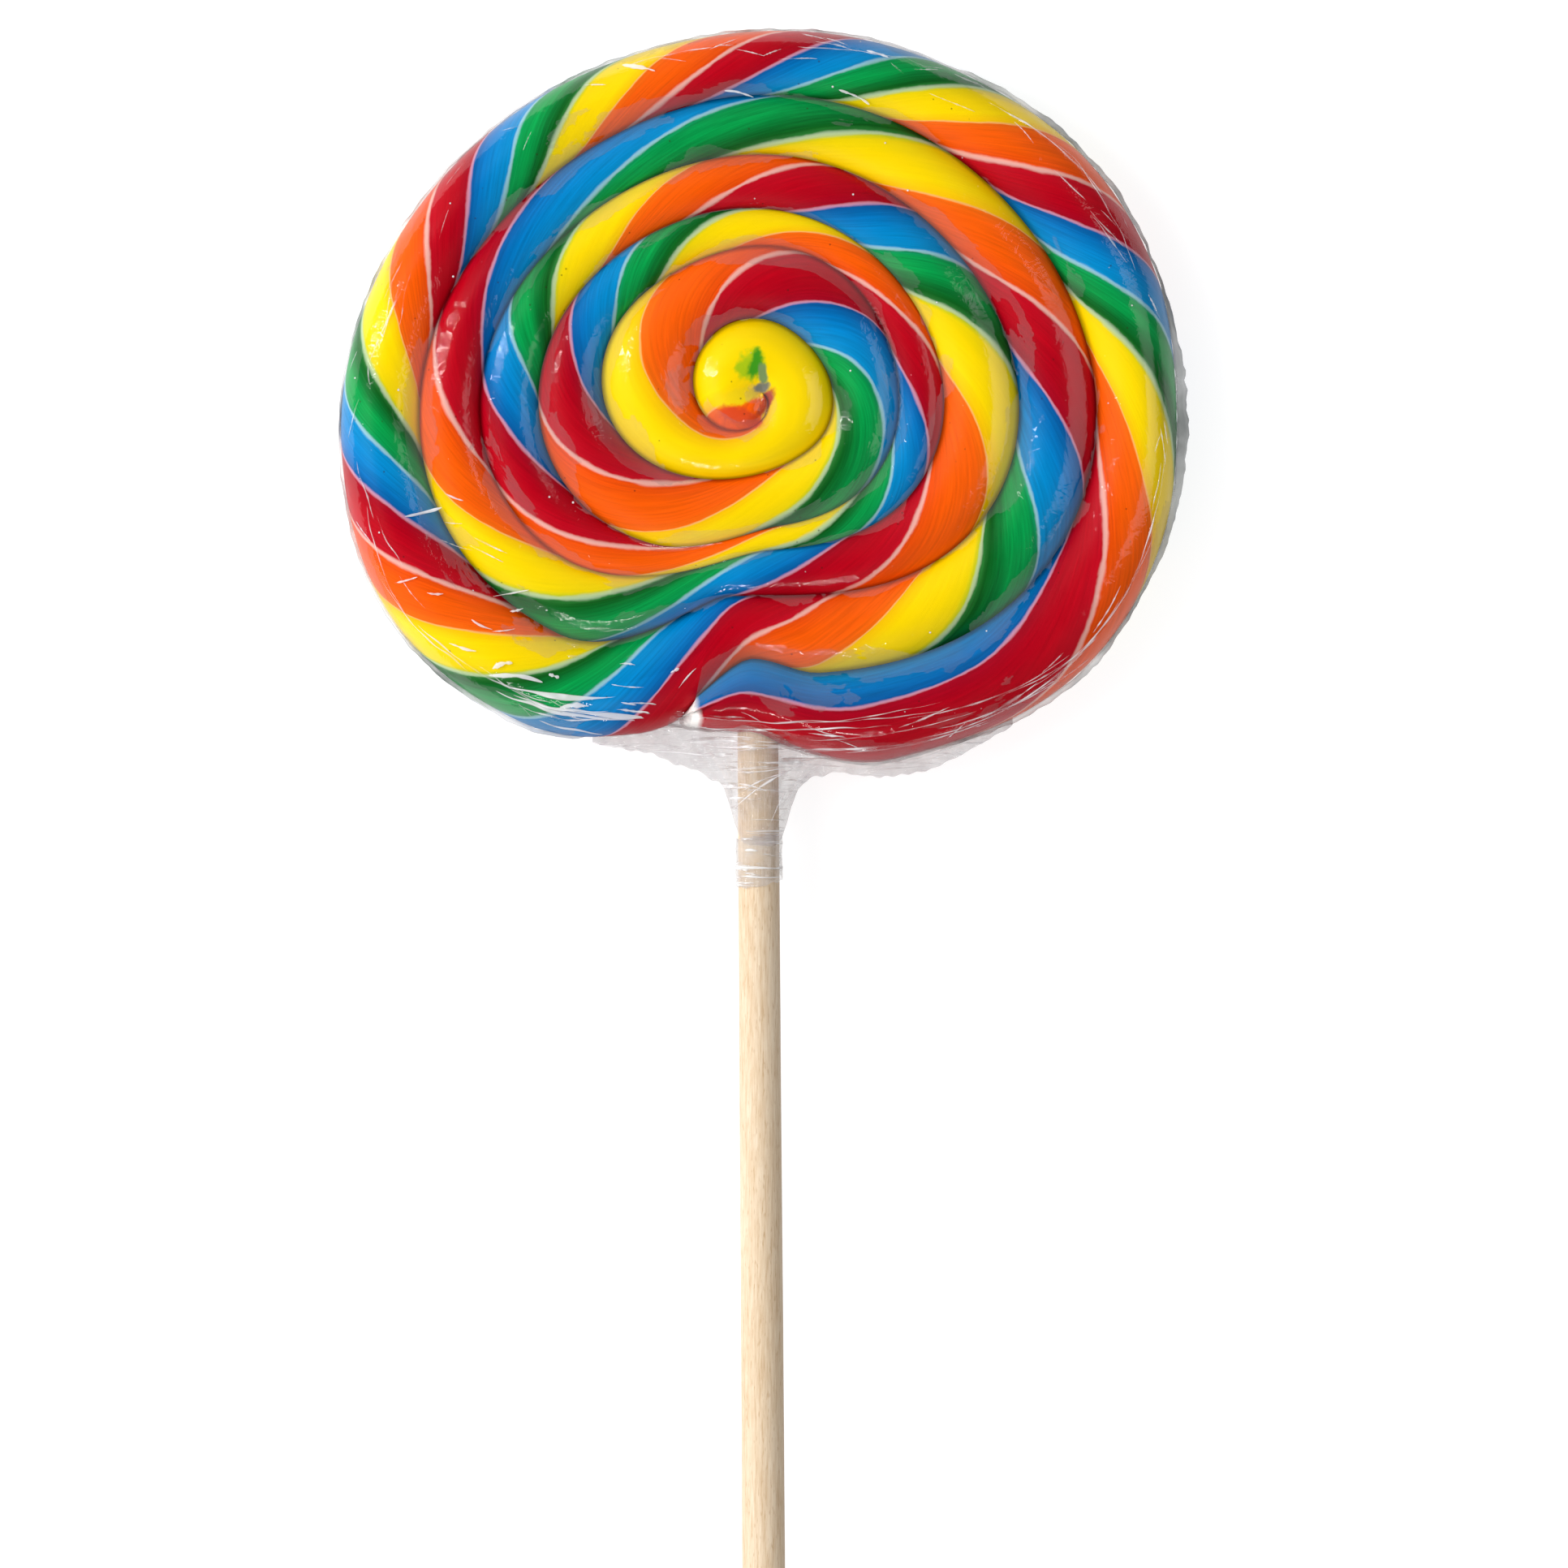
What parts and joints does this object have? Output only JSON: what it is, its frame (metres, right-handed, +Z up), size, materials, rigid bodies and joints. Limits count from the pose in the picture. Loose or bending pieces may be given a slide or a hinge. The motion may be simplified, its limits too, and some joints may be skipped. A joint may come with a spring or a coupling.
{
  "type": "swirl lollipop",
  "caption": "Large flat lollipop: a twisted, striped rope of hard candy wound into an oval spiral head on a round wooden stick, in clear film gathered and taped round the stick.",
  "frame": {"origin": "middle of the spiral on the head's back, on the surface that the lollipop lies on", "axes": "+X to the right, +Y from the stick to the top of the head, +Z up out of the shown side of the swirl"},
  "size_m": [0.1403, 0.3037, 0.017],
  "materials": {
    "candy": "hard boiled sugar in five twisted stripes of yellow, orange, red, blue and green, glossy",
    "wood": "plain pale dowel, fine straight grain, unvarnished",
    "film": "clear thin wrap film, glossy, creased",
    "tape": "clear tape over gathered film, glossy, crinkled"
  },
  "bodies": {
    "root": {"candy_swirl": "candy", "stick": "wood", "film_neck": "film", "neck_tape": "tape"}
  },
  "joints": []
}
